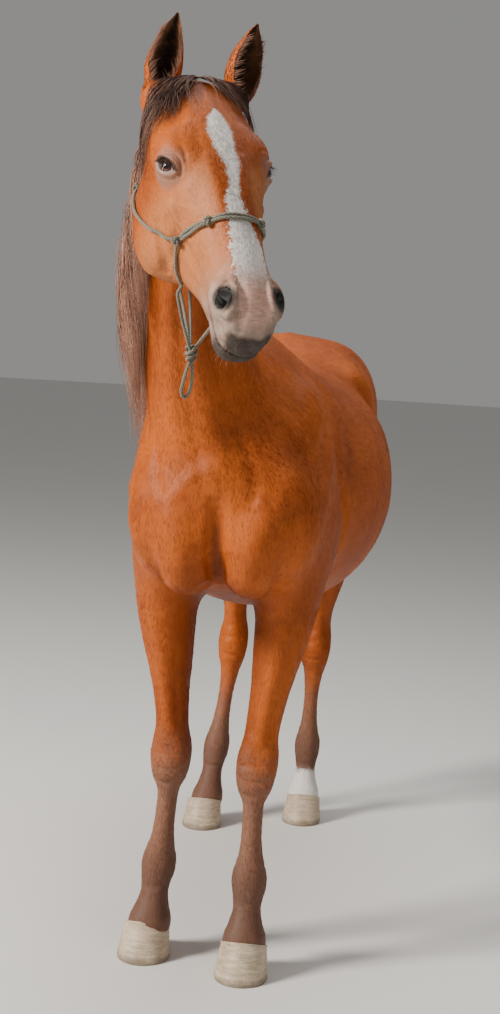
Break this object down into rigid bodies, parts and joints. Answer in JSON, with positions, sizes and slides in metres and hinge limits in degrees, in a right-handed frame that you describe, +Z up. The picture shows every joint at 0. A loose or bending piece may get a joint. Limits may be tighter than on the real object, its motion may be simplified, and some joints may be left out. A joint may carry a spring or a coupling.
{
  "type": "standing horse",
  "caption": "Life-size riding horse standing square, head turned to its left, wearing a knotted rope halter.",
  "frame": {"origin": "middle of the bounding box, on the floor that the hooves stand on", "axes": "+Z up, the horse faces -Y, +X is the horse's left"},
  "size_m": [0.6806, 2.3228, 2.1155],
  "materials": {
    "coat": "short glossy bay coat with a white blaze, dark lower legs and one white hind pastern",
    "hair": "long dark brown hair of mane, forelock and tail",
    "hoof": "pale horn with growth rings",
    "eye": "wet, dark brown",
    "rope": "braided olive-grey cord"
  },
  "bodies": {
    "root": {"ear_left": "coat", "ear_right": "coat", "eye_left": "eye", "eye_right": "eye", "forelock": "hair", "front_hoof_left": "hoof", "front_hoof_right": "hoof", "front_leg_left": "coat", "front_leg_right": "coat", "halter_cheek_left": "rope", "halter_cheek_right": "rope", "halter_chin_left": "rope", "halter_chin_right": "rope", "halter_crown": "rope", "halter_knot_cheek_left": "rope", "halter_knot_cheek_right": "rope", "halter_knot_chin": "rope", "halter_knot_nose_left": "rope", "halter_knot_nose_right": "rope", "halter_knot_throat_left": "rope", "halter_knot_throat_right": "rope", "halter_loop": "rope", "halter_nose_lower_left": "rope", "halter_nose_lower_middle": "rope", "halter_nose_lower_right": "rope", "halter_nose_upper_left": "rope", "halter_nose_upper_middle": "rope", "halter_nose_upper_right": "rope", "halter_throat_left": "rope", "halter_throat_right": "rope", "head": "coat", "hind_hoof_left": "hoof", "hind_hoof_right": "hoof", "hind_leg_left": "coat", "hind_leg_right": "coat", "mane": "hair", "neck": "coat", "tail": "hair", "trunk": "coat"}
  },
  "joints": []
}
